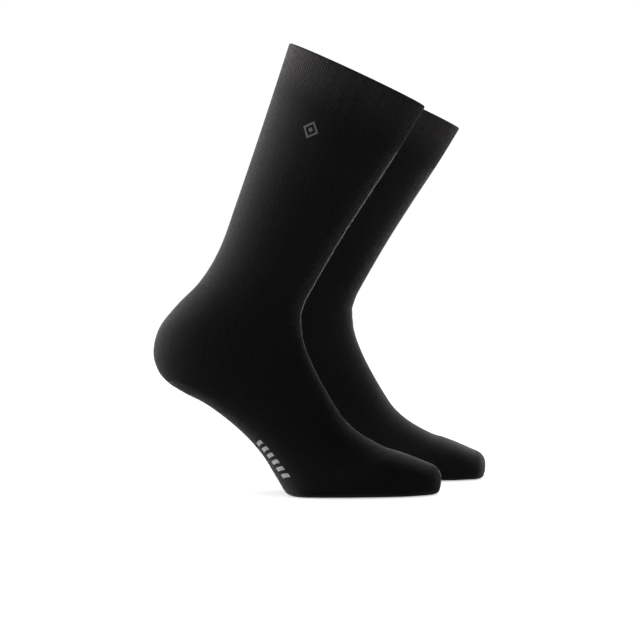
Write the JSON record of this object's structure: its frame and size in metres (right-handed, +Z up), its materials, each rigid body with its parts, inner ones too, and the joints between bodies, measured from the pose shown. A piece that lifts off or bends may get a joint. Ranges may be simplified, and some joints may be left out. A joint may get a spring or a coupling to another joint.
{
  "type": "pair of dress socks, filled out as worn",
  "caption": "Mid-calf fine-knit socks, each a hollow form raised on its toes, open at a ribbed cuff, with a heel pocket and a closed toe.",
  "frame": {"origin": "middle of the right sock's open top, where the wearer's leg goes in and holds it up", "axes": "+X to the toes, +Y from the right sock to the left one, +Z up; the flat of both soles is 301.75 mm below the origin"},
  "size_m": [0.2461, 0.2436, 0.3245],
  "materials": {
    "ribbed_knit": "matt black cotton knit with fine upright ribs, knitted double",
    "plain_knit": "matt black fine plain knit with a soft sheen where it turns away",
    "strong_knit": "matt black plain knit, strengthened and a little coarser"
  },
  "bodies": {
    "root": {"right_cuff": "ribbed_knit", "right_leg": "plain_knit", "right_heel": "strong_knit", "right_foot": "plain_knit", "right_toe": "strong_knit", "left_cuff": "ribbed_knit", "left_leg": "plain_knit", "left_heel": "strong_knit", "left_foot": "plain_knit", "left_toe": "strong_knit"}
  },
  "joints": []
}
